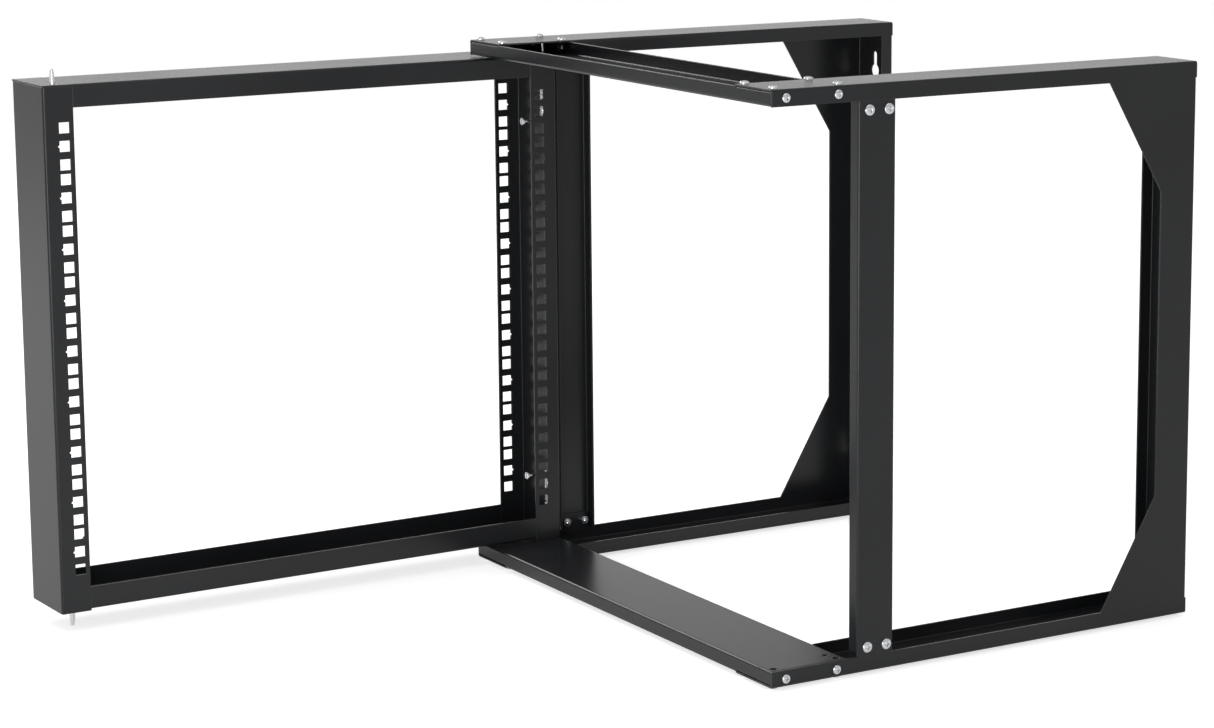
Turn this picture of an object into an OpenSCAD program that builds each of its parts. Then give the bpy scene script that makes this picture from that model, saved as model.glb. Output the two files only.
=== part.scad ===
// Wall mount open frame rack with a swing gate.
// The origin is the centre of the four keyholes, on the wall plane.
// +X points right as seen from the front, +Y into the wall and +Z up.
// The gate is drawn as it rests, swung open by almost a quarter turn. Lengths are in millimetres.

/* [Rack rails] */
// Number of rack units that the gate holds
units = 9; // [5:1:15]
// Height of one rack unit
unit_h = 44.45; // [40:0.05:50]
// Distance between the two hole columns
column_span = 465.1; // [400:0.1:560]
// Side of a square rail hole
square_hole = 9.5; // [6:0.1:10]
// Depth of the notch that marks the middle hole of a unit
notch_depth = 1.6; // [0.5:0.1:3]
// Width of that notch
notch_w = 3; // [1:0.1:5]

/* [Swing gate] */
// Depth of the gate from its rear face to its front face
gate_depth = 69.5; // [60:0.5:85]
// Width of the flanges of the gate's uprights
post_flange = 27; // [25:0.5:36]
// Distance from a hole column to the gate's side edge
column_edge = 18.45; // [17.5:0.05:20]
// Width of the flanges of the gate's rails
rail_flange = 20; // [10:0.5:28]
// Distance from the gate's end to the first rack unit
end_margin = 30.5; // [26:0.5:45]
// Gap between the gate and each cross-member
gate_gap = 1.5; // [0.8:0.1:3]
// Clearance under the feet of the gate's uprights
foot_clear = 0.2; // [0.1:0.05:0.5]
// Margin between the closed gate and the frame's outer face
side_margin = 9; // [6:0.5:14]
// Setback of the closed gate from the frame's front
gate_inset = 0.5; // [0:0.1:2]

/* [Sheet] */
// Thickness of the folded sheet
sheet = 1.5; // [1.2:0.1:1.8]
// Inner radius of the folds
fold_r = 0.7; // [0.3:0.1:1.2]

/* [Side frames] */
// Depth of the frame from its front to the wall
frame_depth = 436; // [320:1:600]
// Width of the flanges and of the wall plate
side_flange = 57; // [54:0.5:70]
// Depth of the inner return lip
side_lip = 13; // [5:0.5:14]
// Width of the web beside the wall
wall_web = 37; // [25:0.5:60]
// Reach of a corner gusset from the wall
gusset_run = 95; // [70:1:130]
// Drop of a corner gusset from the frame's end
gusset_drop = 111; // [60:1:150]

/* [Uprights] */
// Distance of the uprights behind the closed gate
upright_gap = 13.5; // [8:0.5:40]
// Width of an upright
upright_w = 36.5; // [33:0.5:60]
// Width of an upright's flanges
upright_flange = 12; // [6:0.5:20]
// Front bolt's distance from the upright's front
upright_bolt_front = 9.8; // [8:0.1:12]
// Rear bolt's distance from the upright's rear
upright_bolt_rear = 7.6; // [7.5:0.1:9.5]
// Distance of the bolts from the upright's end
upright_bolt_end = 7.5; // [6:0.1:14]
// Height of the joggled tab that the upright is bolted to
tab_rise = 15; // [12:0.5:40]

/* [Cross-members] */
// Reach of a cross-member behind the closed gate
cross_past = 5; // [3:0.5:7]
// Height of a cross-member, and of the side frames' web strips
cross_h = 14; // [13:0.5:18]
// Width of the corner lips under the side frames' flanges
cross_lip = 12; // [11:0.5:16]
// Distance of the corner bolts from the frame's front
corner_bolt_front = 6.5; // [6:0.1:7.5]
// Distance of the corner bolts from the cross-member's rear
corner_bolt_rear = 7; // [6.5:0.1:7.5]
// Distance of the outer corner bolts from the frame's side
corner_bolt_out = 8.5; // [8.5:0.1:12]
// Distance of the inner corner bolts from the flange's inner edge
corner_bolt_in = 5.5; // [5:0.1:10]
// First web bolt's distance from the frame's front
web_bolt_front = 13; // [12.5:0.1:20]
// Second web bolt's distance from the cross-member's rear
web_bolt_rear = 12; // [12:0.1:20]
// Diameter of the access holes in the panel
access_hole = 6; // [3:0.1:7]

/* [Wall keyholes] */
// Distance of the entry holes from the frame's top and bottom
key_drop = 50; // [30:1:90]
// Rise from the entry hole to the seat of the screw
key_rise = 16; // [10:0.5:30]
// Diameter of the entry hole
key_hole = 13.2; // [10:0.1:18]
// Width of the slot
key_slot = 6.4; // [4:0.1:8]

/* [Bolts] */
// Diameter of the corner and web bolts
bolt_d = 4; // [3:0.1:5]
// Diameter of a corner or web bolt's head
head_d = 7.8; // [7:0.1:9.8]
// Height of a corner or web bolt's head
head_h = 2.8; // [2:0.1:4]
// Diameter of the upright bolts
upright_bolt_d = 5; // [4:0.1:5]
// Diameter of an upright bolt's head
upright_head_d = 9.4; // [8:0.1:9.8]
// Height of an upright bolt's head
upright_head_h = 3; // [2:0.1:4]
// Length of the corner bolts
corner_bolt_len = 8; // [5:0.5:9]
// Length of the web bolts
web_bolt_len = 6; // [5:0.5:6]
// Length of the upright bolts
upright_bolt_len = 10; // [8.5:0.5:16]
// Width of a nut across its flats
nut_flats = 8; // [7:0.1:9]
// Height of a nut
nut_h = 4; // [2:0.1:5]

/* [Spring pins] */
// Diameter of a pin
pin_d = 4.8; // [4:0.1:5]
// Diameter of a pin's rounded tip
pin_tip_d = 3.3; // [2:0.1:3.6]
// Distance of the pins from the gate's side edge
pin_edge = 11; // [9:0.1:12]
// Distance of the pins from the gate's rear face
pin_setback = 5.2; // [5.1:0.1:7]
// Length of a pin inside the gate
pin_tail = 64; // [63.5:0.5:80]
// Distance of the retaining clip from the gate's end
clip_at = 27; // [20:0.5:34]
// Thickness of a retaining clip
clip_t = 0.7; // [0.5:0.1:1]
// Width of a clip's rim around the pin
clip_rim = 1; // [0.6:0.1:1]
// Thickness of a spring's wire
spring_wire = 0.8; // [0.4:0.1:0.8]
// Number of turns of a spring
spring_turns = 9; // [5:1:14]
// Distance of the pull screw from the gate's end
pull_at = 61.5; // [59:0.5:62]
// Diameter of the pull screw
pull_d = 3; // [2:0.1:3.4]
// Reach of the hinge side's pull screws from the pin to the head
pull_reach = 20; // [18:0.5:30]
// Reach of the latch side's pull screws
latch_pull_reach = 12; // [8:0.5:12.5]
// Diameter of the pull screw's head
pull_head_d = 6.4; // [5:0.1:7]
// Height of the guide bracket's foot on the gate's web
guide_foot = 19; // [8:0.5:30]
// Width of the guide bracket
guide_w = 12; // [10:0.5:20]
// Reach of the guide's leg past the pin
guide_past = 6; // [4.5:0.5:12]

/* [Hidden] */

$fn = 32;
fold_steps = 6;
cut = 1;
seam = 0.1;
bolt_clear = 0.25;
thread_clear = 0.05;
pin_clear = 0.1;
spring_clear = 0.15;
end_clear = 0.05;
tip_clear = 0.3;
stop_clear = 0.3;
guide_clear = 0.2;
collar_wall = 0.8;
collar_h = 1.5;
joggle = 4;
gate_open = 88.5;
hole_shares = [1 / 7, 1 / 2, 6 / 7];

coat = "#3b3d40";
zinc = "#d4d6d8";
spring_steel = "#b9bcc0";

fold_out = fold_r + sheet;
gate_h = units * unit_h + 2 * end_margin;
gate_w = column_span + 2 * column_edge;
gate_half = gate_w / 2;
gate_top = gate_h / 2;
panel_z = gate_top + gate_gap;
top_z = panel_z + cross_h;
under_z = top_z - sheet;
frame_w = gate_w + 2 * side_margin;
side_x = -frame_w / 2;
side_in_x = side_x + sheet;
flange_x = side_x + side_flange;
front_y = -frame_depth;
gate_front_y = front_y + gate_inset;
gate_rear_y = gate_front_y + gate_depth;
cross_rear_y = gate_rear_y + cross_past;
hinge_x = -gate_half + pin_edge;
hinge_y = gate_rear_y - pin_setback;
upright_y = gate_rear_y + upright_gap;
upright_rear_y = upright_y + upright_w;
tab_z = panel_z - tab_rise;
bolt_r = bolt_d / 2;
upright_bolt_r = upright_bolt_d / 2;
pin_r = pin_d / 2;
tip_r = pin_tip_d / 2;
pin_out = gate_gap + cross_h - sheet - tip_clear;
pin_straight = gate_gap + sheet + bolt_clear;
clip_slot = clip_t + 2 * end_clear;
pull_r = pull_d / 2;
leg_z = -(pull_at - pull_r - stop_clear);
corner_bolt_x = [side_x + corner_bolt_out, flange_x - corner_bolt_in];
corner_bolt_y = [front_y + corner_bolt_front, cross_rear_y - corner_bolt_rear];
web_bolt_y = [front_y + web_bolt_front, cross_rear_y - web_bolt_rear];
web_bolt_z = top_z - cross_h / 2;
upright_bolt_y = [upright_y + upright_bolt_front, upright_rear_y - upright_bolt_rear];
upright_bolt_z = panel_z - upright_bolt_end;
hole_heights = [for (u = [0 : units - 1], k = [0 : 2]) [(u + hole_shares[k] - units / 2) * unit_h, k]];

// Folded sheet: the path is the outer face, with the sheet on its left and every fold to the left
function left_of(d) = [-d[1], d[0]];

function heading(path, i) = (path[i + 1] - path[i]) / norm(path[i + 1] - path[i]);

function fold_arc(p, a, b, r) =
    [for (k = [0 : fold_steps]) let (t = 90 * k / fold_steps) p + r * (b - a + sin(t) * a - cos(t) * b)];

function outer_face(path) = [
    path[0],
    for (i = [1 : len(path) - 2]) each fold_arc(path[i], heading(path, i - 1), heading(path, i), fold_out),
    path[len(path) - 1]
];

function inner_corner(path, i) =
    path[i] + sheet * (left_of(heading(path, i - 1)) + left_of(heading(path, i)));

function inner_face(path) = [
    path[0] + sheet * left_of(heading(path, 0)),
    for (i = [1 : len(path) - 2])
        each fold_arc(inner_corner(path, i), heading(path, i - 1), heading(path, i), fold_r),
    path[len(path) - 1] + sheet * left_of(heading(path, len(path) - 2))
];

function backwards(list) = [for (i = [len(list) - 1 : -1 : 0]) list[i]];

module folded(path) {
    polygon(concat(outer_face(path), backwards(inner_face(path))));
}

// A box between two corners
module block(low, high) {
    translate(low)
        cube(high - low);
}

// A flat shape drawn in Y and Z, thickened along X from x0 to x1
module along_x(x0, x1) {
    translate([x0, 0, 0])
        rotate([90, 0, 90])
            linear_extrude(x1 - x0)
                children();
}

// A flat shape drawn in X and Z, thickened along Y from y0 to y1
module along_y(y0, y1) {
    translate([0, y1, 0])
        rotate([90, 0, 0])
            linear_extrude(y1 - y0)
                children();
}

module along_z(z0, z1) {
    translate([0, 0, z0])
        linear_extrude(z1 - z0)
            children();
}

module both_ends() {
    children();
    mirror([0, 0, 1])
        children();
}

module both_sides() {
    children();
    mirror([1, 0, 0])
        children();
}

// Side frame, drawn for the left side
module side_rim() {
    difference() {
        along_y(front_y, 0)
            folded([
                [flange_x, top_z - side_lip], [flange_x, top_z],
                [side_x, top_z], [side_x, panel_z]
            ]);
        block([flange_x - fold_out, front_y - cut, top_z - side_lip - cut],
              [flange_x + cut, cross_rear_y + sheet, under_z]);
    }
}

module wall_channel() {
    along_z(-under_z, under_z)
        folded([
            [flange_x, -side_lip], [flange_x, 0],
            [side_x, 0], [side_x, -wall_web]
        ]);
}

module gusset() {
    along_x(side_x, side_in_x)
        polygon([
            [-gusset_run, panel_z + joggle], [-gusset_run, panel_z],
            [-wall_web, top_z - gusset_drop], [-wall_web + joggle, top_z - gusset_drop],
            [-wall_web + joggle, panel_z + joggle]
        ]);
}

module upright_tab() {
    tab_front_y = upright_y + fold_out;
    tab_rear_y = upright_rear_y - fold_out;
    block([side_in_x, tab_front_y, tab_z], [side_in_x + sheet, tab_rear_y, panel_z + joggle]);
    block([side_in_x - seam, tab_front_y, panel_z + cut], [side_in_x + sheet, tab_rear_y, panel_z + joggle]);
}

module keyhole(z) {
    translate([side_x + side_flange / 2, 0, z])
        rotate([90, 0, 0])
            translate([0, 0, -cut]) {
                cylinder(h = sheet + 2 * cut, d = key_hole);
                translate([0, key_rise, 0])
                    cylinder(h = sheet + 2 * cut, d = key_slot);
                translate([-key_slot / 2, 0, 0])
                    cube([key_slot, key_rise, sheet + 2 * cut]);
            }
}

module side_frame() {
    difference() {
        union() {
            both_ends() {
                side_rim();
                gusset();
                upright_tab();
            }
            wall_channel();
        }
        keyhole(top_z - key_drop);
        keyhole(key_drop - top_z);
        both_ends() {
            for (x = corner_bolt_x, y = corner_bolt_y)
                translate([x, y, under_z - cut])
                    cylinder(h = sheet + 2 * cut, r = bolt_r + bolt_clear);
            for (y = web_bolt_y)
                side_hole(y, web_bolt_z, sheet, bolt_r);
            for (y = upright_bolt_y)
                side_hole(y, upright_bolt_z, 2 * sheet, upright_bolt_r);
        }
    }
}

module side_hole(y, z, wall, r) {
    translate([side_x - cut, y, z])
        rotate([0, 90, 0])
            cylinder(h = wall + 2 * cut, r = r + bolt_clear);
}

// Upright, drawn for the left side; the tabs lie between its flanges
module upright() {
    flange_end_x = side_x + upright_flange;
    difference() {
        along_z(-panel_z, panel_z)
            folded([
                [flange_end_x, upright_rear_y], [side_x, upright_rear_y],
                [side_x, upright_y], [flange_end_x, upright_y]
            ]);
        both_ends()
            for (y = upright_bolt_y)
                side_hole(y, upright_bolt_z, sheet, upright_bolt_r);
    }
}

// Cross-member, drawn for the top
module cross_channel() {
    lip_x = flange_x - fold_out;
    along_x(lip_x, -lip_x)
        folded([
            [front_y, under_z], [front_y, panel_z],
            [cross_rear_y, panel_z], [cross_rear_y, under_z]
        ]);
    both_sides()
        along_x(side_in_x + seam, lip_x)
            folded([
                [front_y + cross_lip, under_z], [front_y, under_z], [front_y, panel_z],
                [cross_rear_y, panel_z], [cross_rear_y, under_z], [cross_rear_y - cross_lip, under_z]
            ]);
}

module end_tab() {
    tab_side = fold_out + sheet;
    along_y(front_y + tab_side, cross_rear_y - tab_side)
        folded([
            [side_in_x, under_z - sheet - seam], [side_in_x, panel_z],
            [side_in_x + 2 * fold_out, panel_z]
        ]);
}

module tapped_collars() {
    for (x = corner_bolt_x, y = corner_bolt_y)
        translate([x, y, under_z - sheet - collar_h])
            cylinder(h = collar_h + sheet / 2, r = bolt_r + collar_wall);
    for (y = web_bolt_y)
        translate([side_in_x + sheet / 2, y, web_bolt_z])
            rotate([0, 90, 0])
                cylinder(h = collar_h + sheet / 2, r = bolt_r + collar_wall);
}

module cross_holes() {
    for (x = corner_bolt_x, y = corner_bolt_y)
        translate([x, y, panel_z + sheet + cut])
            cylinder(h = cross_h, r = bolt_r + thread_clear);
    for (y = corner_bolt_y)
        translate([corner_bolt_x[0], y, panel_z - cut])
            cylinder(h = sheet + 2 * cut, d = access_hole);
    for (y = web_bolt_y)
        translate([side_x, y, web_bolt_z])
            rotate([0, 90, 0])
                cylinder(h = 2 * sheet + collar_h + cut, r = bolt_r + thread_clear);
    translate([hinge_x, hinge_y, panel_z - cut])
        cylinder(h = cross_h, r = pin_r + pin_clear);
    block([side_in_x - cut, front_y - cut, under_z - fold_r],
          [side_in_x + fold_r, cross_rear_y + cut, under_z + cut]);
}

module cross_member() {
    difference() {
        union() {
            difference() {
                cross_channel();
                both_sides()
                    block([side_in_x - cut, front_y + fold_out, panel_z - cut],
                          [side_in_x + fold_out, cross_rear_y - fold_out, under_z - sheet - seam]);
            }
            both_sides() {
                end_tab();
                tapped_collars();
            }
        }
        both_sides()
            cross_holes();
    }
}

// Gate: everything is drawn with the gate closed, and swung open about the hinge pins
module swung() {
    translate([hinge_x, hinge_y, 0])
        rotate([0, 0, -gate_open])
            translate([-hinge_x, -hinge_y, 0])
                children();
}

module post() {
    foot_z = -(gate_top + gate_gap - foot_clear);
    difference() {
        along_z(foot_z, gate_top - sheet)
            folded([
                [-gate_half + post_flange, gate_rear_y], [-gate_half, gate_rear_y],
                [-gate_half, gate_front_y], [-gate_half + post_flange, gate_front_y]
            ]);
        for (h = hole_heights)
            rail_hole(h[0], h[1] == 1);
    }
}

module rail_hole(z, notched) {
    half = square_hole / 2;
    x = -column_span / 2;
    along_y(gate_front_y - cut, gate_rear_y + cut)
        translate([x, z]) {
            square(square_hole, center = true);
            if (notched)
                polygon([
                    [-half + seam, -notch_w / 2], [-half + seam, notch_w / 2],
                    [-half - notch_depth, 0]
                ]);
        }
}

module rail_body() {
    butt_x = gate_half - post_flange;
    along_x(-butt_x, butt_x)
        folded([
            [gate_rear_y, gate_top - rail_flange], [gate_rear_y, gate_top],
            [gate_front_y, gate_top], [gate_front_y, gate_top - rail_flange]
        ]);
}

module pin_holes() {
    both_sides()
        translate([hinge_x, hinge_y, gate_top - sheet - cut])
            cylinder(h = sheet + 2 * cut, r = pin_r + pin_clear);
}

// The top rail's ends cover the ends of the posts
module gate_top_rail() {
    color(coat)
        swung()
            difference() {
                union() {
                    rail_body();
                    both_sides()
                        block([-gate_half, gate_front_y, gate_top - sheet],
                              [-gate_half + post_flange + seam, gate_rear_y, gate_top]);
                }
                pin_holes();
            }
}

// The bottom rail's ends lie inside the posts
module gate_bottom_rail() {
    inset = sheet + tip_clear;
    color(coat)
        swung()
            mirror([0, 0, 1])
                difference() {
                    union() {
                        rail_body();
                        both_sides()
                            block([-gate_half + inset, gate_front_y + inset, gate_top - sheet],
                                  [-gate_half + post_flange + fold_out, gate_rear_y - inset, gate_top]);
                    }
                    pin_holes();
                }
}

// Spring pins: drawn for the hinge side's top, with the gate's end at z = 0 and the pin's axis on Z
module at_corner(side, end) {
    swung()
        mirror([side == "latch" ? 1 : 0, 0, 0])
            mirror([0, 0, end == "bottom" ? 1 : 0])
                translate([hinge_x, hinge_y, gate_top])
                    children();
}

module pin() {
    color(zinc)
        difference() {
            rotate_extrude()
                polygon([
                    for (a = [0 : 15 : 90]) [tip_r * sin(a), pin_out - tip_r + tip_r * cos(a)],
                    [pin_r, pin_straight], [pin_r, -clip_at], [pin_r - clip_t, -clip_at],
                    [pin_r - clip_t, -clip_at - clip_slot], [pin_r, -clip_at - clip_slot],
                    [pin_r, -pin_tail], [0, -pin_tail]
                ]);
            translate([-pin_r - cut, 0, -pull_at])
                rotate([0, 90, 0])
                    cylinder(h = pin_d + 2 * cut, r = pull_r + thread_clear);
        }
}

module clip() {
    opening = pin_r - clip_t;
    color(spring_steel)
        translate([0, 0, -clip_at - end_clear - clip_t])
            difference() {
                cylinder(h = clip_t, r = pin_r + clip_rim);
                translate([0, 0, -cut])
                    cylinder(h = clip_t + 2 * cut, r = pin_r - clip_t + end_clear);
                translate([-opening, -pin_d, -cut])
                    cube([2 * opening, pin_d, clip_t + 2 * cut]);
            }
}

module pull_screw(reach = pull_reach) {
    head_r = pull_head_d / 2;
    color(zinc)
        translate([0, 0, -pull_at])
            rotate([0, 90, 0])
                difference() {
                    rotate_extrude()
                        polygon([
                            [0, -pin_r], [pull_r, -pin_r], [pull_r, reach],
                            [head_r, reach + pull_r], [head_r, reach + pull_d],
                            [0, reach + pull_d]
                        ]);
                    translate([-head_r, -pull_r / 3, reach + pull_r])
                        cube([pull_head_d, pull_d / 3, pull_d]);
                }
}

module guide() {
    web_x = -pin_edge + sheet;
    guide_y = pin_setback - sheet - fold_r - guide_clear;
    difference() {
        translate([0, guide_y - guide_w, 0])
            along_y(0, guide_w)
                folded([
                    [web_x, leg_z + guide_foot], [web_x, leg_z],
                    [guide_past, leg_z]
                ]);
        translate([0, 0, leg_z - cut])
            cylinder(h = sheet + 2 * cut, r = pin_r + pin_clear);
    }
}

module pin_guides() {
    color(coat)
        for (side = ["hinge", "latch"], end = ["top", "bottom"])
            at_corner(side, end)
                guide();
}

// Spring: closed end turns with even turns between them
spring_r = pin_r + spring_clear + spring_wire / 2;
spring_top = -clip_at - clip_slot - end_clear - spring_wire / 2;
spring_low = leg_z + sheet + end_clear + spring_wire / 2;
spring_sides = 6;
spring_steps = 12;
closed_pitch = spring_wire + end_clear;
open_pitch = (spring_top - spring_low - 2 * closed_pitch) / (spring_turns - 2);

function spring_z(turn) =
    spring_low + closed_pitch * min(turn, 1) + open_pitch * max(0, min(turn - 1, spring_turns - 2))
    + closed_pitch * max(0, turn - spring_turns + 1);

function spring_ring(turn) = let (a = 360 * turn, out = [cos(a), sin(a), 0]) [
    for (j = [0 : spring_sides - 1]) let (t = 360 * j / spring_sides)
        spring_r * out + spring_wire / 2 * (cos(t) * out + [0, 0, sin(t)]) + [0, 0, spring_z(turn)]
];

module spring() {
    rings = spring_turns * spring_steps;
    n = spring_sides;
    points = [for (i = [0 : rings]) each spring_ring(i / spring_steps)];
    walls = [for (i = [0 : rings - 1], j = [0 : n - 1])
        [i * n + j, i * n + (j + 1) % n, (i + 1) * n + (j + 1) % n, (i + 1) * n + j]];
    caps = [[for (j = [n - 1 : -1 : 0]) j], [for (j = [0 : n - 1]) rings * n + j]];
    color(spring_steel)
        polyhedron(points, concat(walls, caps));
}

// Bolts: the seat of the head is at z = 0 and the shank points down
module bolt(length, r = bolt_r, head_r = head_d / 2, head = head_h) {
    edge_h = head * 0.4;
    recess = head_r;
    slot = r / 2;
    difference() {
        union() {
            rotate_extrude()
                polygon([
                    [0, 0], [head_r, 0],
                    for (a = [0 : 15 : 90]) [head_r * cos(a), edge_h + (head - edge_h) * sin(a)]
                ]);
            translate([0, 0, -length])
                cylinder(h = length + edge_h, r = r);
        }
        for (turn = [0, 90])
            rotate([0, 0, turn])
                translate([-recess / 2, -slot / 2, edge_h])
                    cube([recess, slot, head]);
    }
}

module nut() {
    difference() {
        cylinder(h = nut_h, d = nut_flats / cos(30), $fn = 6);
        translate([0, 0, -cut])
            cylinder(h = nut_h + 2 * cut, r = upright_bolt_r + thread_clear);
    }
}

module top_corner_bolts() {
    color(zinc)
        both_sides()
            for (x = corner_bolt_x, y = corner_bolt_y)
                translate([x, y, top_z])
                    bolt(corner_bolt_len);
}

module bottom_corner_bolts() {
    mirror([0, 0, 1])
        top_corner_bolts();
}

module web_bolts() {
    color(zinc)
        both_sides()
            both_ends()
                for (y = web_bolt_y)
                    translate([side_x, y, web_bolt_z])
                        rotate([0, -90, 0])
                            bolt(web_bolt_len);
}

module upright_bolts() {
    color(zinc)
        both_sides()
            both_ends()
                for (y = upright_bolt_y)
                    translate([side_x, y, upright_bolt_z])
                        rotate([0, -90, 0])
                            bolt(upright_bolt_len, upright_bolt_r, upright_head_d / 2, upright_head_h);
}

module upright_nuts() {
    color(zinc)
        both_sides()
            both_ends()
                for (y = upright_bolt_y)
                    translate([side_in_x + sheet, y, upright_bolt_z])
                        rotate([0, 90, 0])
                            nut();
}

module side_frame_left() { color(coat) side_frame(); }
module side_frame_right() { mirror([1, 0, 0]) side_frame_left(); }
module upright_left() { color(coat) upright(); }
module upright_right() { mirror([1, 0, 0]) upright_left(); }
module top_crossmember() { color(coat) cross_member(); }
module bottom_crossmember() { mirror([0, 0, 1]) top_crossmember(); }
module gate_hinge_post() { color(coat) swung() post(); }
module gate_latch_post() { color(coat) swung() mirror([1, 0, 0]) post(); }

side_frame_left();
side_frame_right();
upright_left();
upright_right();
top_crossmember();
bottom_crossmember();
gate_hinge_post();
gate_latch_post();
gate_top_rail();
gate_bottom_rail();
pin_guides();
at_corner("hinge", "top") pin();  // hinge_pin_top
at_corner("hinge", "bottom") pin();  // hinge_pin_bottom
at_corner("latch", "top") pin();  // latch_pin_top
at_corner("latch", "bottom") pin();  // latch_pin_bottom
at_corner("hinge", "top") clip();  // hinge_clip_top
at_corner("hinge", "bottom") clip();  // hinge_clip_bottom
at_corner("latch", "top") clip();  // latch_clip_top
at_corner("latch", "bottom") clip();  // latch_clip_bottom
at_corner("hinge", "top") pull_screw();  // hinge_pull_screw_top
at_corner("hinge", "bottom") pull_screw();  // hinge_pull_screw_bottom
at_corner("latch", "top") pull_screw(latch_pull_reach);  // latch_pull_screw_top
at_corner("latch", "bottom") pull_screw(latch_pull_reach);  // latch_pull_screw_bottom
at_corner("hinge", "top") spring();  // hinge_spring_top
at_corner("hinge", "bottom") spring();  // hinge_spring_bottom
at_corner("latch", "top") spring();  // latch_spring_top
at_corner("latch", "bottom") spring();  // latch_spring_bottom
top_corner_bolts();
bottom_corner_bolts();
web_bolts();
upright_bolts();
upright_nuts();
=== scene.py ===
"""Looks, hardware detail and studio for a wall mount open frame rack with a swing gate.

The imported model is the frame. Its sheet pieces keep their shape and get a powder coat, and the small turned,
threaded and coiled pieces are rebuilt as smooth surfaces in the same places.
"""

import math

import bpy
import numpy as np
from bpy.props import FloatProperty, FloatVectorProperty, IntProperty, PointerProperty
from bpy.types import Operator, Panel, PropertyGroup
from mathutils import Matrix, Vector


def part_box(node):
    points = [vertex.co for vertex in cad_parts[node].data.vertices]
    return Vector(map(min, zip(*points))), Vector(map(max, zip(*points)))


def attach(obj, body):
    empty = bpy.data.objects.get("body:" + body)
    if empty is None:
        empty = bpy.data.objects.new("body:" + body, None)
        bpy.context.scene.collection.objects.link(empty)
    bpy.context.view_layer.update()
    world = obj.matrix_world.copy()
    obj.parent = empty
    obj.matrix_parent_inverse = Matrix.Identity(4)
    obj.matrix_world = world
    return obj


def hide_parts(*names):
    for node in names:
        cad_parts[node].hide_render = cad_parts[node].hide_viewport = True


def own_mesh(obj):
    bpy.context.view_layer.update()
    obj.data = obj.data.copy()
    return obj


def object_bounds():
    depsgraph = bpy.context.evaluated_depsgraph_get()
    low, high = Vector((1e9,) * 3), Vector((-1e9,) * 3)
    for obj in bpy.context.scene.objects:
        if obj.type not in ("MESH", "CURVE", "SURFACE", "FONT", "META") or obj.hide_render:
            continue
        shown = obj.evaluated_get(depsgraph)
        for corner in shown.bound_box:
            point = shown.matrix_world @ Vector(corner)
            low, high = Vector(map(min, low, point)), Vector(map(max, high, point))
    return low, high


bl_info = {
    "name": "Wall Mount Open Frame Rack",
    "version": (1, 0, 0),
    "blender": (4, 5, 0),
    "location": "3D View > Sidebar > Rack",
    "description": "Finishes, hardware and a studio for a wall mount open frame rack",
    "category": "Object",
}

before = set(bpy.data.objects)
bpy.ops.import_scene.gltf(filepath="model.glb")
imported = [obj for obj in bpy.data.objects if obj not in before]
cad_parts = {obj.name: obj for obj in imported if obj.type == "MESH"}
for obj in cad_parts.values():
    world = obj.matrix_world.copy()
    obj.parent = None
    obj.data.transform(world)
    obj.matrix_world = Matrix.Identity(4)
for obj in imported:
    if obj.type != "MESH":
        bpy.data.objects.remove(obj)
CAD_LOW, CAD_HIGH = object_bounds()

MM = 0.001
CORNERS = [(side, end) for side in ("hinge", "latch") for end in ("top", "bottom")]
SHEET_NODES = [
    "side_frame_left", "side_frame_right", "upright_left", "upright_right", "top_crossmember",
    "bottom_crossmember", "gate_hinge_post", "gate_latch_post", "gate_top_rail", "gate_bottom_rail", "pin_guides",
]
COAT = "satin black coat"
ZINC = "bright zinc"
WIRE = "drawn spring wire"
PHOTO_W = 1214
PHOTO_H = 728
SENSOR_W = 36.0


class RackCoat(PropertyGroup):
    """Powder coat of the folded sheet"""

    color: FloatVectorProperty(
        name="Color", description="Color of the powder coat", subtype="COLOR", default=(0.0135, 0.0145, 0.0162),
        min=0, max=1)
    # The edge colour is a painted highlight: the coat is drawn paler along the softened folds and cut edges.
    edge_highlight_color: FloatVectorProperty(
        name="Edge color", description="Color of the coat where it pulls thin over an edge", subtype="COLOR",
        default=(0.045, 0.047, 0.050), min=0, max=1)
    roughness: FloatProperty(
        name="Roughness", description="Roughness of the coat", default=0.26, min=0, max=1, subtype="FACTOR")
    specular: FloatProperty(
        name="Specular", description="Strength of the coat's reflection", default=0.42, min=0, max=1, subtype="FACTOR")
    peel: FloatProperty(
        name="Peel", description="Spacing of the orange peel waves", default=1.6 * MM, min=0.1 * MM, unit="LENGTH")
    peel_depth: FloatProperty(
        name="Peel depth", description="Depth of the orange peel waves", default=0.001 * MM, min=0, unit="LENGTH")
    grain: FloatProperty(
        name="Grain", description="Spacing of the powder's fine grain", default=0.35 * MM, min=0.05 * MM,
        unit="LENGTH")
    grain_depth: FloatProperty(
        name="Grain depth", description="Depth of the powder's fine grain", default=0.0006 * MM, min=0,
        unit="LENGTH")
    edge: FloatProperty(
        name="Edge", description="Radius of the sheet's softened cut edges", default=1.2 * MM, min=0, unit="LENGTH")


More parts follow.
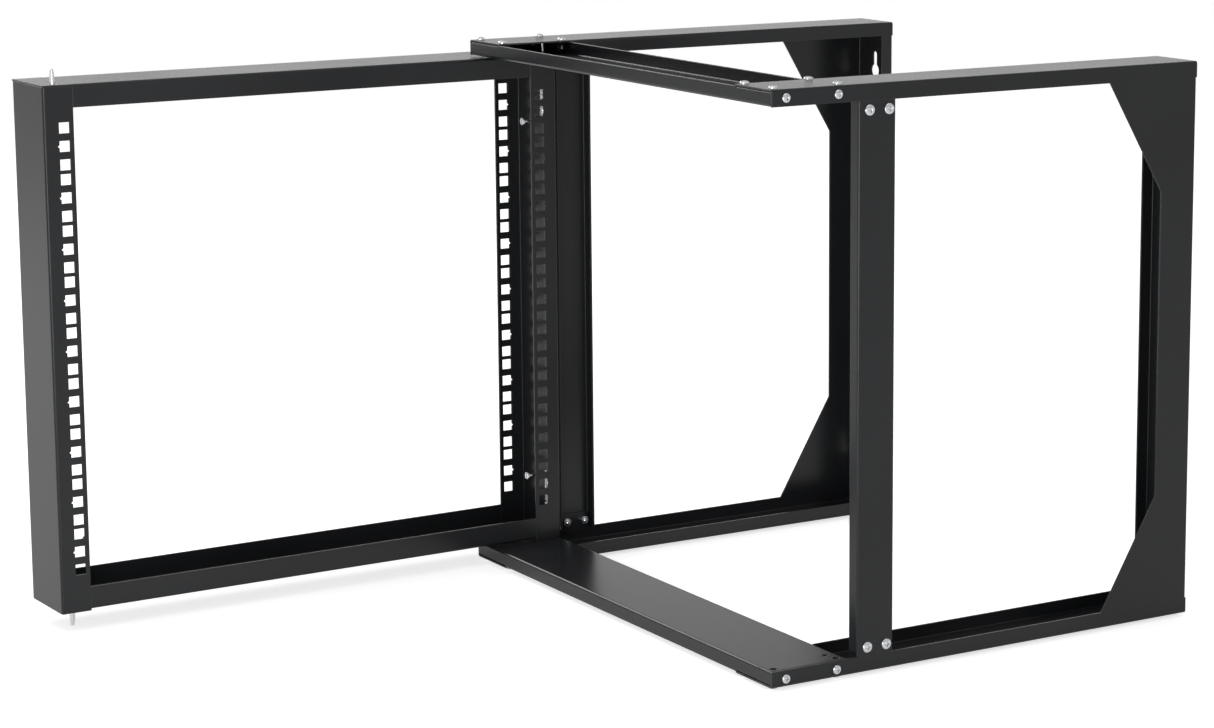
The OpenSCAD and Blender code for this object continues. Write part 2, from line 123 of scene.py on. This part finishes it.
class RackHardware(PropertyGroup):
    """Bolts, nuts, pins and springs"""

    zinc: FloatVectorProperty(
        name="Zinc", description="Color of the zinc plate", subtype="COLOR", default=(0.86, 0.87, 0.89), min=0, max=1)
    wire: FloatVectorProperty(
        name="Wire", description="Color of the spring wire", subtype="COLOR", default=(0.78, 0.79, 0.81), min=0,
        max=1)
    roughness: FloatProperty(
        name="Roughness", description="Roughness of the bright metal", default=0.20, min=0, max=1, subtype="FACTOR")
    thread_pitch: FloatProperty(
        name="Thread pitch", description="Pitch of the bolt thread", default=0.75 * MM, min=0.2 * MM, unit="LENGTH")
    thread_depth: FloatProperty(
        name="Thread depth", description="Depth of the bolt thread", default=0.32 * MM, min=0.05 * MM, unit="LENGTH")
    frame_bolt_d: FloatProperty(
        name="Frame bolt", description="Diameter of a corner or web bolt's shank", default=3.9 * MM, min=1 * MM,
        unit="LENGTH")
    frame_head_h: FloatProperty(
        name="Frame bolt head", description="Height of a corner or web bolt's head", default=2.8 * MM, min=1 * MM,
        unit="LENGTH")
    upright_bolt_d: FloatProperty(
        name="Upright bolt", description="Diameter of an upright bolt's shank", default=4.9 * MM, min=1 * MM,
        unit="LENGTH")
    upright_head_h: FloatProperty(
        name="Upright bolt head", description="Height of an upright bolt's head", default=3.0 * MM, min=1 * MM,
        unit="LENGTH")
    spring_turns: IntProperty(name="Spring turns", description="Turns of a pin's spring", default=9, min=4)
    wire_d: FloatProperty(
        name="Wire diameter", description="Thickness of the spring wire", default=0.8 * MM, min=0.1 * MM,
        unit="LENGTH")
    pin_travel: FloatProperty(
        name="Pin travel", description="Travel of a pin when it is pulled back", default=15 * MM, min=0,
        unit="LENGTH")


class RackStudio(PropertyGroup):
    """Camera and light"""

    camera_at: FloatVectorProperty(
        name="Camera", description="Place of the camera", subtype="XYZ", unit="LENGTH",
        default=(2.40379, -1.80216, 0.51899))
    heading: FloatProperty(
        name="Heading", description="Angle of the view from the -X axis towards +Y", default=math.radians(32.652),
        subtype="ANGLE")
    tilt: FloatProperty(
        name="Tilt", description="Angle of the view below the horizon", default=math.radians(9.698),
        subtype="ANGLE")
    focal_px: FloatProperty(
        name="Focal length", description="Focal length in pixels of the photograph", default=3221.1, min=100)
    axis_x: FloatProperty(
        name="Axis X", description="Pixel column that the optical axis meets", default=780)
    axis_y: FloatProperty(
        name="Axis Y", description="Pixel row that the optical axis meets", default=291)
    ambient: FloatProperty(
        name="Ambient", description="Strength of the soft light from all round", default=0.3, min=0)
    gleam: FloatProperty(
        name="Gleam", description="Strength of the white surround in the metal's reflections", default=0.3, min=0)
    horizon: FloatProperty(
        name="Horizon", description="Strength of the surround's low part in those reflections", default=0.85, min=0)
    key: FloatProperty(name="Key", description="Power of the main soft box", default=6, min=0, unit="POWER")
    overhead: FloatProperty(
        name="Overhead", description="Power of the overhead soft box", default=15, min=0, unit="POWER")
    back: FloatProperty(
        name="Back", description="Power of the low soft box behind the rack", default=5, min=0, unit="POWER")
    strip: FloatProperty(
        name="Strip", description="Power of the upright strip that lights the upright folds", default=5, min=0,
        unit="POWER")
    edge: FloatProperty(
        name="Edge", description="Power of the narrow soft box that lights the level folds", default=30, min=0,
        unit="POWER")
    floor_glow: FloatProperty(
        name="Floor glow", description="Share of the floor's white that no shadow darkens", default=0.72, min=0)
    floor_gleam: FloatProperty(
        name="Floor gleam", description="Strength of that share in the metal's reflections", default=0.42, min=0)
    floor_drop: FloatProperty(
        name="Floor drop", description="Height of the rack above the floor", default=0.5 * MM, min=0, unit="LENGTH")


def settings():
    return bpy.context.scene.rack_coat, bpy.context.scene.rack_hardware, bpy.context.scene.rack_studio


# Geometry from the frame

def solid_boxes(node):
    """Boxes of the separate solids of a CAD node: vertices at one place share a label, and each triangle spreads
    its lowest label over its corners until nothing changes."""
    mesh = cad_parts[node].data
    mesh.calc_loop_triangles()
    co = np.zeros(len(mesh.vertices) * 3)
    mesh.vertices.foreach_get("co", co)
    tris = np.zeros(len(mesh.loop_triangles) * 3, int)
    mesh.loop_triangles.foreach_get("vertices", tris)
    _, same = np.unique(np.round(co.reshape(-1, 3) / (0.01 * MM)).astype(int), axis=0, return_inverse=True)
    same = same.ravel()
    tris = same[tris].reshape(-1, 3)
    label = np.arange(same.max() + 1)
    while True:
        spread = label.copy()
        np.minimum.at(spread, tris, label[tris].min(1)[:, None])
        spread = spread[spread]
        if (spread == label).all():
            break
        label = spread
    points = co.reshape(-1, 3)
    return [(points[label[same] == k].min(0), points[label[same] == k].max(0)) for k in np.unique(label)]


def frame_of(axis):
    """Three unit vectors as rows, the third along axis."""
    w = np.array(axis, float) / np.linalg.norm(axis)
    u = np.cross([0, 0, 1] if abs(w[2]) < 0.9 else [1, 0, 0], w)
    u /= np.linalg.norm(u)
    return np.array([u, np.cross(w, u), w])


# Surfaces

def ring_faces(rings, sides, closed):
    """Quads between neighbouring rings of points, wound so that they face outwards when the rings rise along the
    axis and turn anticlockwise seen from its tip. A closed surface also joins the last ring to the first."""
    i, j = np.meshgrid(np.arange(rings if closed else rings - 1), np.arange(sides), indexing="ij")
    up = (i + 1) % rings
    right = (j + 1) % sides
    return np.stack([i * sides + j, i * sides + right, up * sides + right, up * sides + j], -1).reshape(-1, 4)


def cap_faces(rings, sides, low, high):
    """Triangles from a pole vertex to the first ring, and from the last ring to the other pole."""
    j = np.arange(sides)
    right = (j + 1) % sides
    start = (rings - 1) * sides
    first = np.stack([np.full(sides, low), right, j], -1)
    last = np.stack([np.full(sides, high), start + j, start + right], -1)
    return np.concatenate([first, last])


def turned(radius, height, axis, at, ends=True):
    """A surface round an axis: point (ring, side) lies at radius[ring, side] from the axis and at
    height[ring, side] along it. With ends, both outer rings close in a pole."""
    rings, sides = radius.shape
    turn = np.linspace(0, 2 * np.pi, sides, endpoint=False)
    local = np.stack([radius * np.cos(turn), radius * np.sin(turn), height], -1).reshape(-1, 3)
    quads = ring_faces(rings, sides, not ends)
    tris = np.zeros((0, 3), int)
    if ends:
        poles = np.array([[0, 0, height[0].mean()], [0, 0, height[-1].mean()]])
        local = np.concatenate([local, poles])
        tris = cap_faces(rings, sides, rings * sides, rings * sides + 1)
    return local @ frame_of(axis) + np.array(at), quads, tris


def build(name, surfaces, material, body, nodes, smooth=math.radians(35)):
    """One mesh from a list of surfaces, each (points, quads, triangles), which stands for the given CAD nodes."""
    points, faces, shift = [], [], 0
    for co, quads, tris in surfaces:
        points.append(co)
        faces += (quads + shift).tolist() + (tris + shift).tolist()
        shift += len(co)
    mesh = bpy.data.meshes.new(name)
    mesh.from_pydata(np.concatenate(points).tolist(), [], faces)
    mesh.polygons.foreach_set("use_smooth", np.ones(len(mesh.polygons), bool))
    mesh.set_sharp_from_angle(angle=smooth)
    mesh.materials.append(material)
    mesh.validate()
    piece = bpy.data.objects.new(name, mesh)
    bpy.context.scene.collection.objects.link(piece)
    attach(piece, body)
    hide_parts(*nodes)
    return piece


def bolt_surface(seat, out, head_r, length, shank_r, head_h, hardware):
    """A pan head bolt. The shank is a helix: its radius falls with the distance from the crest line, which climbs
    one pitch a turn. The head is a dome, and its cross recess is a dip where the smaller of |x| and |y| is small."""
    sides = 80
    pitch = hardware.thread_pitch
    edge_h = 0.4 * head_h
    turn = np.linspace(0, 1, sides, endpoint=False)
    steps = int(round(length / pitch * 6))
    z = np.linspace(-length, -0.2 * MM, steps)[:, None] + 0 * turn
    wave = np.abs(((z / pitch - turn) % 1) * 2 - 1)
    fade = np.clip((z + length) / pitch, 0.0, 1.0)
    shank = (shank_r - hardware.thread_depth * wave) * (0.8 + 0.2 * fade)
    edge = head_r * np.array([0.97, 1.0, 1.0])
    rim_z = np.array([0.0, 0.12 * MM, edge_h])
    under = np.repeat(edge[:, None], sides, 1), np.repeat(rim_z[:, None], sides, 1)
    reach = np.concatenate([np.cos(np.linspace(0.1, 0.8, 8)), np.linspace(0.67, 0.01, 34)])[:, None]
    top_r = head_r * reach + 0 * turn
    scale = head_r / (4.7 * MM)
    x = np.abs(top_r * np.cos(2 * np.pi * turn))
    y = np.abs(top_r * np.sin(2 * np.pi * turn))
    arm = 1 - np.clip((np.minimum(x, y) / scale - 0.5 * MM) / (0.14 * MM), 0, 1)
    end = 1 - np.clip((np.maximum(x, y) / scale - 1.9 * MM) / (0.5 * MM), 0, 1)
    top_z = edge_h + (head_h - edge_h) * np.sqrt(1 - reach**2) - 1.5 * MM * arm * end
    radius = np.concatenate([shank, under[0], top_r])
    height = np.concatenate([z, under[1], top_z])
    return turned(radius, height, out, seat)


def nut_surface(seat, out, flats, high, bore):
    """A hexagon nut: the radius is the hexagon's, cut by a chamfer cone near both faces, and the bore closes it."""
    sides = 72
    turn = np.linspace(0, 2 * np.pi, sides, endpoint=False)
    hexagon = flats / 2 / np.cos((turn + np.pi / 6) % (np.pi / 3) - np.pi / 6)
    z = high * np.array([0.0, 0.04, 0.08, 0.12, 0.88, 0.92, 0.96, 1.0])[:, None]
    cone = flats / 2 * (0.97 + 1.6 * np.minimum(z, high - z) / flats)
    outer = np.minimum(hexagon[None], cone)
    inner_r = np.array([1.12, 1.0, 1.0, 1.12])[:, None] * bore + 0 * turn
    inner_z = high * np.array([1.0, 0.9, 0.1, 0.0])[:, None] + 0 * turn
    radius = np.concatenate([outer, inner_r])
    height = np.concatenate([z + 0 * turn, inner_z])
    return turned(radius, height, out, seat, ends=False)


def spring_surface(at, low, high, coil_r, hardware):
    """A round wire on a helix: the height climbs slowly over the first and last turn and evenly between them."""
    turns = hardware.spring_turns
    steps, sides = 40, 12
    wire = hardware.wire_d / 2
    s = np.linspace(0, turns, turns * steps + 1)
    closed = 1.06 * hardware.wire_d
    span = high - low - hardware.wire_d
    open_pitch = (span - 2 * closed) / (turns - 2)
    climb = closed * np.minimum(s, 1) + open_pitch * np.clip(s - 1, 0, turns - 2) + closed * np.maximum(0, s - turns + 1)
    turn = 2 * np.pi * s
    out = np.stack([np.cos(turn), np.sin(turn), 0 * turn], -1)
    across = np.linspace(0, 2 * np.pi, sides, endpoint=False)
    centre = np.array(at) + coil_r * out + np.stack([0 * s, 0 * s, low + wire + climb], -1)
    ring = wire * (np.cos(across)[None, :, None] * out[:, None] + np.sin(across)[None, :, None] * np.array([0, 0, 1.0]))
    points = (centre[:, None] + ring).reshape(-1, 3)
    rings = len(s)
    points = np.concatenate([points, centre[[0, -1]]])
    return points, ring_faces(rings, sides, False), cap_faces(rings, sides, rings * sides, rings * sides + 1)


# Materials

def new_material(name):
    material = bpy.data.materials.new(name)
    material.use_nodes = True
    nodes, links = material.node_tree.nodes, material.node_tree.links
    return material, nodes, links, nodes["Principled BSDF"]


def noise(nodes, links, coordinates, size, detail=2.0, roughness=0.5):
    texture = nodes.new("ShaderNodeTexNoise")
    texture.inputs["Scale"].default_value = 1 / size
    texture.inputs["Detail"].default_value = detail
    texture.inputs["Roughness"].default_value = roughness
    links.new(coordinates, texture.inputs["Vector"])
    return texture.outputs["Fac"]


def spread(nodes, links, value, low, high):
    """The value's middle range mapped on to low and high."""
    node = nodes.new("ShaderNodeMapRange")
    node.inputs["From Min"].default_value = 0.3
    node.inputs["From Max"].default_value = 0.7
    node.inputs["To Min"].default_value = low
    node.inputs["To Max"].default_value = high
    links.new(value, node.inputs["Value"])
    return node.outputs["Result"]


def mixed(nodes, links, share, first, second):
    node = nodes.new("ShaderNodeMix")
    node.data_type = "RGBA"
    links.new(share, node.inputs["Factor"])
    node.inputs["A"].default_value = (*first, 1)
    node.inputs["B"].default_value = (*second, 1)
    return node.outputs["Result"]


def bumped(nodes, links, height, distance, normal=None):
    node = nodes.new("ShaderNodeBump")
    node.inputs["Distance"].default_value = distance
    links.new(height, node.inputs["Height"])
    if normal is not None:
        links.new(normal, node.inputs["Normal"])
    return node.outputs["Normal"]


def powder_coat(coat):
    """Dark satin coat: slow orange peel and fine grain in the bump, faint clouds in colour and gloss, and a paler
    colour where a softened edge's normal leaves the face's own: a painted highlight on the folds and cut edges."""
    material, nodes, links, shader = new_material(COAT)
    coordinates = nodes.new("ShaderNodeTexCoord").outputs["Object"]
    clouds = noise(nodes, links, coordinates, 120 * MM, 1.0, 0.4)
    peel = noise(nodes, links, coordinates, coat.peel, 1.0, 0.4)
    grain = noise(nodes, links, coordinates, coat.grain, 2.0, 0.6)
    soft_edge = nodes.new("ShaderNodeBevel")
    soft_edge.samples = 6
    soft_edge.inputs["Radius"].default_value = coat.edge
    face = nodes.new("ShaderNodeNewGeometry")
    turn = nodes.new("ShaderNodeVectorMath")
    turn.operation = "DOT_PRODUCT"
    links.new(soft_edge.outputs["Normal"], turn.inputs[0])
    links.new(face.outputs["True Normal"], turn.inputs[1])
    # Painted highlight: where the softened edge's normal leaves the face's own, the colour turns to the paler edge
    # colour.
    edge_highlight = nodes.new("ShaderNodeMapRange")
    edge_highlight.inputs["From Min"].default_value = 1.0
    edge_highlight.inputs["From Max"].default_value = 0.75
    links.new(turn.outputs["Value"], edge_highlight.inputs["Value"])
    shade = tuple(c * 1.25 for c in coat.color)
    body = mixed(nodes, links, spread(nodes, links, clouds, 0, 1), tuple(coat.color), shade)
    final = nodes.new("ShaderNodeMix")
    final.data_type = "RGBA"
    links.new(edge_highlight.outputs["Result"], final.inputs["Factor"])
    links.new(body, final.inputs["A"])
    final.inputs["B"].default_value = (*coat.edge_highlight_color, 1)
    links.new(final.outputs["Result"], shader.inputs["Base Color"])
    gloss = spread(nodes, links, clouds, coat.roughness - 0.008, coat.roughness + 0.008)
    links.new(gloss, shader.inputs["Roughness"])
    shader.inputs["Specular IOR Level"].default_value = coat.specular
    waves = bumped(nodes, links, peel, coat.peel_depth, soft_edge.outputs["Normal"])
    links.new(bumped(nodes, links, grain, coat.grain_depth, waves), shader.inputs["Normal"])
    return material


def bright_metal(name, color, roughness, size, depth):
    """Plated or drawn metal: fine mottling in gloss and colour over a faint uneven surface."""
    material, nodes, links, shader = new_material(name)
    shader.inputs["Metallic"].default_value = 1.0
    coordinates = nodes.new("ShaderNodeTexCoord").outputs["Object"]
    mottle = noise(nodes, links, coordinates, size, 3.0, 0.6)
    dull = tuple(c * 0.82 for c in color)
    links.new(mixed(nodes, links, spread(nodes, links, mottle, 0, 1), dull, tuple(color)), shader.inputs["Base Color"])
    links.new(spread(nodes, links, mottle, roughness + 0.08, roughness - 0.05), shader.inputs["Roughness"])
    links.new(bumped(nodes, links, mottle, depth), shader.inputs["Normal"])
    return material


def found_material(name, make):
    return bpy.data.materials.get(name) or make()


def zinc_plate(hardware):
    return found_material(
        ZINC, lambda: bright_metal(ZINC, hardware.zinc, hardware.roughness, 0.9 * MM, 0.01 * MM))


def spring_wire(hardware):
    return found_material(
        WIRE, lambda: bright_metal(WIRE, hardware.wire, hardware.roughness, 0.5 * MM, 0.006 * MM))


def finish_node(node, material):
    """Puts a material in every slot of a CAD node's object."""
    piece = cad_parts[node]
    piece.data.materials.clear()
    piece.data.materials.append(material)


# Operators

class RACK_OT_sheet(Operator):
    """Coat the folded sheet pieces"""

    bl_idname = "rack.sheet"
    bl_label = "Folded sheet"

    def execute(self, context):
        coat, _, _ = settings()
        material = found_material(COAT, lambda: powder_coat(coat))
        for node in SHEET_NODES:
            finish_node(node, material)
        return {"FINISHED"}


def bolt_group(name, node, axis, shank_d, head_h):
    """Rebuilds every bolt of a node, whose heads point away from the middle along the given axis."""
    _, hardware, _ = settings()
    surfaces = []
    for low, high in solid_boxes(node):
        middle = (low + high) / 2
        out = np.zeros(3)
        out[axis] = math.copysign(1, middle[axis])
        seat = middle.copy()
        seat[axis] = (high[axis] - head_h) if out[axis] > 0 else (low[axis] + head_h)
        across = (axis + 1) % 3
        head_r = (high[across] - low[across]) / 2
        length = high[axis] - low[axis] - head_h
        surfaces.append(bolt_surface(seat, out, head_r, length, shank_d / 2, head_h, hardware))
    return build(name, surfaces, zinc_plate(hardware), "wall_frame", [node])


class RACK_OT_bolts(Operator):
    """Build the corner, web and upright bolts with their threads and cross recesses"""

    bl_idname = "rack.bolts"
    bl_label = "Bolts"

    def execute(self, context):
        _, hardware, _ = settings()
        frame_bolt = hardware.frame_bolt_d, hardware.frame_head_h
        bolt_group("corner_bolts_upper", "top_corner_bolts", 2, *frame_bolt)
        bolt_group("corner_bolts_lower", "bottom_corner_bolts", 2, *frame_bolt)
        bolt_group("web_bolts_threaded", "web_bolts", 0, *frame_bolt)
        upright_bolt = hardware.upright_bolt_d, hardware.upright_head_h
        bolt_group("upright_bolts_threaded", "upright_bolts", 0, *upright_bolt)
        return {"FINISHED"}


class RACK_OT_nuts(Operator):
    """Build the chamfered nuts behind the uprights"""

    bl_idname = "rack.nuts"
    bl_label = "Nuts"

    def execute(self, context):
        _, hardware, _ = settings()
        surfaces = []
        for low, high in solid_boxes("upright_nuts"):
            middle = (low + high) / 2
            inward = -math.copysign(1, middle[0])
            seat = np.array([low[0] if inward > 0 else high[0], middle[1], middle[2]])
            flats = min(high[1] - low[1], high[2] - low[2])
            bore = hardware.upright_bolt_d / 2 * 1.03
            surfaces.append(nut_surface(seat, (inward, 0, 0), flats, high[0] - low[0], bore))
        build("upright_nuts_chamfered", surfaces, zinc_plate(hardware), "wall_frame", ["upright_nuts"])
        return {"FINISHED"}


class RACK_OT_plungers(Operator):
    """Finish the spring pins, their clips and pull screws, and wind the springs"""

    bl_idname = "rack.plungers"
    bl_label = "Spring pins"

    def execute(self, context):
        _, hardware, _ = settings()
        for side, end in CORNERS:
            pin_low, pin_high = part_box(f"{side}_pin_{end}")
            at = np.array([(pin_low.x + pin_high.x) / 2, (pin_low.y + pin_high.y) / 2, 0])
            low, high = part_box(f"{side}_spring_{end}")
            coil_r = (high.x - low.x - hardware.wire_d) / 2
            surface = spring_surface(at, low.z, high.z, coil_r, hardware)
            coil = build(f"{side}_coil_{end}", [surface], spring_wire(hardware), "swing_gate",
                         [f"{side}_spring_{end}"], math.radians(60))
            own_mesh(coil)
            finish_node(f"{side}_pin_{end}", zinc_plate(hardware))
            finish_node(f"{side}_pull_screw_{end}", zinc_plate(hardware))
            finish_node(f"{side}_clip_{end}", spring_wire(hardware))
        return {"FINISHED"}


def soft_box(name, at, aim, size, power):
    lamp = bpy.data.lights.new(name, "AREA")
    lamp.shape = "RECTANGLE"
    lamp.size, lamp.size_y = size
    lamp.energy = power
    box = bpy.data.objects.new(name, lamp)
    box.location = at
    box.rotation_euler = (Vector(aim) - Vector(at)).to_track_quat("-Z", "Y").to_euler()
    box.visible_camera = False
    bpy.context.scene.collection.objects.link(box)


def seen_directly(nodes, links, gleam, horizon):
    """One where a camera or transmission ray arrives, zero for diffuse and shadow rays, and for a glossy ray the
    horizon's strength, or above the ground's edge the gleam."""
    path = nodes.new("ShaderNodeLightPath")
    share = nodes.new("ShaderNodeMath")
    share.operation = "MULTIPLY"
    share.inputs[1].default_value = gleam
    if horizon is not None:
        height = nodes.new("ShaderNodeSeparateXYZ")
        links.new(nodes.new("ShaderNodeTexCoord").outputs["Generated"], height.inputs["Vector"])
        glow = nodes.new("ShaderNodeMapRange")
        glow.inputs["From Min"].default_value = 0.12
        glow.inputs["From Max"].default_value = 0.20
        glow.inputs["To Min"].default_value = horizon
        glow.inputs["To Max"].default_value = gleam
        links.new(height.outputs["Z"], glow.inputs["Value"])
        links.new(glow.outputs["Result"], share.inputs[1])
    links.new(path.outputs["Is Glossy Ray"], share.inputs[0])
    total = path.outputs["Is Camera Ray"]
    for value in (share.outputs["Value"], path.outputs["Is Transmission Ray"]):
        either = nodes.new("ShaderNodeMath")
        either.operation = "MAXIMUM"
        links.new(total, either.inputs[0])
        links.new(value, either.inputs[1])
        total = either.outputs["Value"]
    return total


def white_world(studio):
    world = bpy.data.worlds.new("studio")
    world.use_nodes = True
    nodes, links = world.node_tree.nodes, world.node_tree.links
    strength = nodes.new("ShaderNodeMapRange")
    strength.inputs["To Min"].default_value = studio.ambient
    strength.clamp = False
    strength.inputs["To Max"].default_value = 1.0
    links.new(seen_directly(nodes, links, studio.gleam, studio.horizon), strength.inputs["Value"])
    nodes["Background"].inputs["Color"].default_value = (1, 1, 1, 1)
    links.new(strength.outputs["Result"], nodes["Background"].inputs["Strength"])
    bpy.context.scene.world = world


def white_floor(studio):
    size = 40.0
    z = CAD_LOW.z - studio.floor_drop
    corners = [(-size, -size, z), (size, -size, z), (size, size, z), (-size, size, z)]
    mesh = bpy.data.meshes.new("floor")
    mesh.from_pydata(corners, [], [(0, 1, 2, 3)])
    floor = bpy.data.objects.new("floor", mesh)
    bpy.context.scene.collection.objects.link(floor)
    material, nodes, links, shader = new_material("floor_white")
    shader.inputs["Base Color"].default_value = (0.86, 0.86, 0.86, 1)
    shader.inputs["Roughness"].default_value = 0.9
    shader.inputs["Emission Color"].default_value = (1, 1, 1, 1)
    share = nodes.new("ShaderNodeMath")
    share.operation = "MULTIPLY"
    share.inputs[1].default_value = studio.floor_glow
    links.new(seen_directly(nodes, links, studio.floor_gleam, None), share.inputs[0])
    links.new(share.outputs["Value"], shader.inputs["Emission Strength"])
    mesh.materials.append(material)


def photo_camera(studio):
    """A camera whose optical axis meets the photograph at the given pixel, turned and tilted as given."""
    data = bpy.data.cameras.new("camera")
    data.sensor_width = SENSOR_W
    data.lens = SENSOR_W * studio.focal_px / PHOTO_W
    data.shift_x = (PHOTO_W / 2 - studio.axis_x) / PHOTO_W
    data.shift_y = (studio.axis_y - PHOTO_H / 2) / PHOTO_W
    data.clip_start, data.clip_end = 0.05, 200
    camera = bpy.data.objects.new("camera", data)
    level = math.cos(studio.tilt)
    look = Vector((-math.cos(studio.heading) * level, math.sin(studio.heading) * level, -math.sin(studio.tilt)))
    camera.location = studio.camera_at
    camera.rotation_euler = look.to_track_quat("-Z", "Y").to_euler()
    bpy.context.scene.collection.objects.link(camera)
    bpy.context.scene.camera = camera


class RACK_OT_stage(Operator):
    """Set up the floor, the soft boxes, the white surround and the camera"""

    bl_idname = "rack.stage"
    bl_label = "Studio"

    def execute(self, context):
        _, _, studio = settings()
        middle = tuple((CAD_LOW + CAD_HIGH) / 2)
        soft_box("key", (-1.4, -3.2, 1.9), middle, (2.2, 2.2), studio.key)
        soft_box("overhead", (0.4, -0.6, 2.8), middle, (2.6, 2.6), studio.overhead)
        soft_box("back", (-3.0, 2.0, 0.30), middle, (3.2, 0.35), studio.back)
        soft_box("strip", (0.95, -1.45, 0.06), middle, (0.36, 0.6), studio.strip)
        soft_box("edge", (-2.7, -0.8, 1.7), middle, (2.0, 0.9), studio.edge)
        white_world(studio)
        white_floor(studio)
        photo_camera(studio)
        context.scene.view_settings.view_transform = "Standard"
        return {"FINISHED"}


class RACK_PT_panel(Panel):
    """Finishes, hardware and studio of the rack"""

    bl_idname = "RACK_PT_panel"
    bl_label = "Rack"
    bl_space_type = "VIEW_3D"
    bl_region_type = "UI"
    bl_category = "Rack"

    def draw(self, context):
        for operator in OPERATORS:
            self.layout.operator(operator.bl_idname)
        for group in settings():
            box = self.layout.box()
            for name in group.bl_rna.properties.keys():
                if name not in ("rna_type", "name"):
                    box.prop(group, name)


GROUPS = {"rack_coat": RackCoat, "rack_hardware": RackHardware, "rack_studio": RackStudio}
OPERATORS = (RACK_OT_sheet, RACK_OT_bolts, RACK_OT_nuts, RACK_OT_plungers, RACK_OT_stage)


def register():
    for item in (*GROUPS.values(), *OPERATORS, RACK_PT_panel):
        bpy.utils.register_class(item)
    for name, group in GROUPS.items():
        setattr(bpy.types.Scene, name, PointerProperty(type=group))


def unregister():
    for name in GROUPS:
        delattr(bpy.types.Scene, name)
    for item in reversed((*GROUPS.values(), *OPERATORS, RACK_PT_panel)):
        bpy.utils.unregister_class(item)


def main():
    register()
    for operator in OPERATORS:
        category, name = operator.bl_idname.split(".")
        getattr(getattr(bpy.ops, category), name)()


if __name__ == "__main__":
    main()
